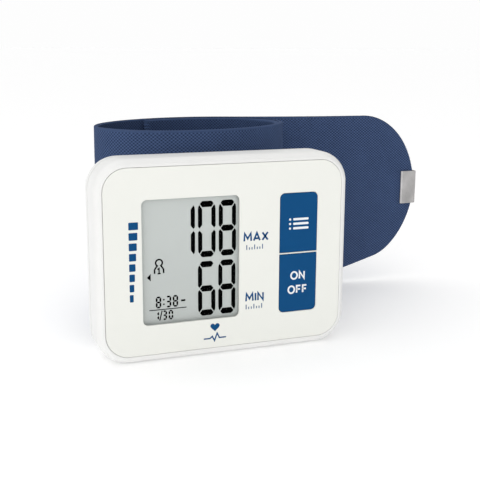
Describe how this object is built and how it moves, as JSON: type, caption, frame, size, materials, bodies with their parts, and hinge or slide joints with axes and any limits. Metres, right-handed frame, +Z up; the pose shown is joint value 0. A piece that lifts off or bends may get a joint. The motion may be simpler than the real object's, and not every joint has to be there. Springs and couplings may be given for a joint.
{
  "type": "wrist blood pressure monitor",
  "caption": "Wrist blood pressure monitor: rounded casing with a recessed display, press keys and a sliding battery door, on an oval hook-and-loop cuff whose strap swings open.",
  "frame": {"origin": "on the flat base of the casing, at the middle of its width and of its rim's depth", "axes": "+X to the right of someone reading the display and along the strap's tail, +Y from the display to the back, +Z up the display"},
  "size_m": [0.1512, 0.0845, 0.0695],
  "materials": {
    "casing_white": "satin moulded white plastic",
    "panel_white": "smooth warm white sheet",
    "window_clear": "clear acrylic",
    "display_grey": "grey-green reflective display",
    "key_blue": "smooth blue plastic",
    "dark_plastic": "dark moulded plastic",
    "dark_rubber": "dark elastomer",
    "inner_plastic": "moulded plastic",
    "board_green": "solder mask",
    "steel": "plated steel",
    "silicone": "translucent silicone",
    "cell_jacket": "plain wrapped cell",
    "cuff_cloth": "navy woven cloth",
    "lining_cloth": "navy brushed loop cloth",
    "hook_tape": "hook tape",
    "tab_grey": "grey woven tape"
  },
  "bodies": {
    "casing": {"front_cover": "casing_white", "rear_cover": "casing_white", "case_screw_1": "steel", "case_screw_2": "steel", "case_screw_3": "steel", "case_screw_4": "steel", "face_panel": "panel_white", "display_lens": "window_clear", "lcd_glass": "display_grey", "lcd_frame": "dark_plastic", "connector_strip_1": "dark_rubber", "connector_strip_2": "dark_rubber", "memory_switch": "dark_plastic", "start_switch": "dark_plastic", "main_board": "board_green", "controller_chip": "dark_plastic", "pressure_sensor": "dark_plastic", "buzzer": "dark_plastic", "pump_motor": "steel", "pump_head": "dark_plastic", "exhaust_valve": "dark_plastic", "air_tee": "inner_plastic", "hose_pump": "silicone", "hose_valve": "silicone", "hose_cuff": "silicone", "hose_sensor": "silicone", "battery_1": "cell_jacket", "battery_2": "cell_jacket", "contact_plate_1": "steel", "contact_plate_2": "steel", "contact_spring_1": "steel", "contact_spring_2": "steel", "cuff_plate": "inner_plastic", "plate_screw_1": "steel", "plate_screw_2": "steel", "plate_screw_3": "steel", "plate_screw_4": "steel", "cuff_port": "inner_plastic", "cuff_cover": "cuff_cloth", "cuff_lining": "lining_cloth", "air_bladder": "dark_rubber", "cuff_stiffener": "inner_plastic", "hook_patch": "hook_tape"},
    "upper_key": {"memory_key": "key_blue", "memory_stem": "dark_plastic"},
    "lower_key": {"start_key": "key_blue", "start_stem": "dark_plastic"},
    "door": {"battery_door": "casing_white"},
    "strap": {"strap_cover": "cuff_cloth", "strap_lining": "lining_cloth", "pull_tab": "tab_grey"}
  },
  "joints": [
    {"name": "memory_key_press", "type": "slide", "parent": "casing", "child": "upper_key", "axis": [0, 1, 0], "range_m": [0, 0.0007], "stiffness_N_per_m": 2500},
    {"name": "start_key_press", "type": "slide", "parent": "casing", "child": "lower_key", "axis": [0, 1, 0], "range_m": [0, 0.0007], "stiffness_N_per_m": 2500},
    {"name": "battery_door_slide", "type": "slide", "parent": "casing", "child": "door", "axis": [1, 0, 0], "range_m": [0, 0.03]},
    {"name": "strap_open", "type": "hinge", "parent": "casing", "child": "strap", "pos_m": [-0.03078, 0.04533, 0.03475], "axis": [0, 0, 1], "range_deg": [0, 100]}
  ]
}
